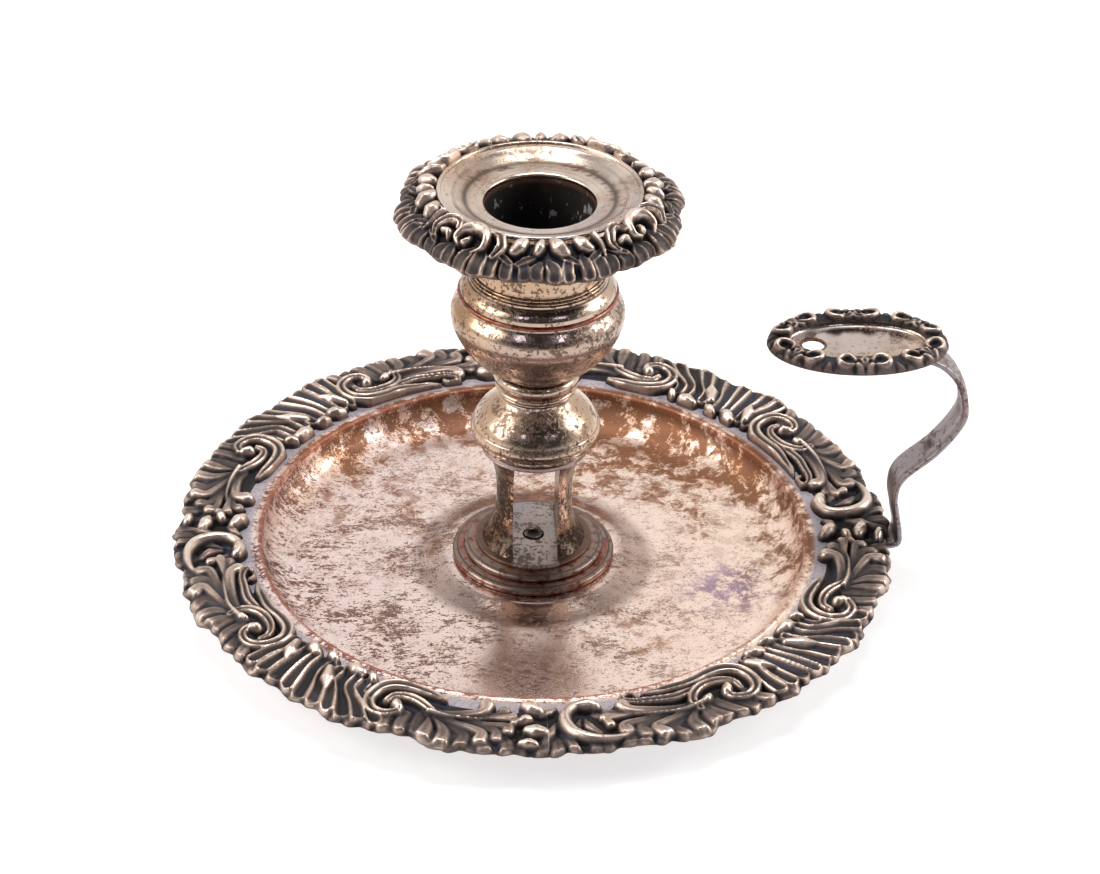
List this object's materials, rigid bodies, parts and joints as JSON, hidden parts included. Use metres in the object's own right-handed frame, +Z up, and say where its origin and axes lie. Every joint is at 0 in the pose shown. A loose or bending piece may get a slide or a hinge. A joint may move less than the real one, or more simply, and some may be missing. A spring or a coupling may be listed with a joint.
{
  "type": "chamberstick",
  "caption": "Low chamber candlestick: a round drip pan with a chased scroll border, slotted stem, vase socket with lift-out nozzle, and a strap handle with thumb plate.",
  "frame": {"origin": "on the table plane, under the middle of the object's length and width, which is 6.8 mm from the stem's axis towards the handle, because the strap handle stands out on one side", "axes": "+Z up along the stem, +X towards the handle, the wick-trimmer slot through the stem along Y"},
  "size_m": [0.1646, 0.151, 0.0895],
  "materials": {
    "tarnished_pan": "worn silver plate with copper bleeding through and golden tarnish",
    "polished_silver": "rubbed silver plate with brown tarnish lines",
    "chased_silver": "chased silver, dark in the hollows and rubbed bright on the crests",
    "worn_copper": "plate rubbed through to copper along the edges",
    "dull_plate": "dull grey plate",
    "sooty_bore": "sooty metal with flecks of old wax"
  },
  "bodies": {
    "root": {"drip_pan": "tarnished_pan", "pan_border_1": "chased_silver", "pan_border_2": "chased_silver", "pan_border_3": "chased_silver", "pan_border_4": "chased_silver", "foot_base_ring": "worn_copper", "foot_upper_ring": "worn_copper", "slot_floor": "dull_plate", "stem_rivet": "dull_plate", "stem_cheek_left": "polished_silver", "slot_lining_left": "polished_silver", "stem_cheek_right": "polished_silver", "slot_lining_right": "polished_silver", "slot_ceiling": "dull_plate", "knop_lower_ring": "polished_silver", "knop_dome": "polished_silver", "neck_collar": "polished_silver", "collar_ring": "polished_silver", "socket_bowl": "polished_silver", "socket_seam_wire": "worn_copper", "socket_shoulder": "polished_silver", "shoulder_bead": "polished_silver", "candle_tube": "polished_silver", "handle_strap": "polished_silver", "thumb_plate": "polished_silver", "thumb_border": "chased_silver"},
    "nozzle": {"nozzle_tube": "sooty_bore", "nozzle_dish": "polished_silver", "nozzle_ridge_wire": "polished_silver", "nozzle_border_1": "chased_silver", "nozzle_border_2": "chased_silver", "nozzle_border_3": "chased_silver", "nozzle_border_4": "chased_silver"}
  },
  "joints": [
    {"name": "nozzle_lift", "type": "slide", "parent": "root", "child": "nozzle", "axis": [0, 0, 1], "range_m": [0, 0.024]}
  ]
}
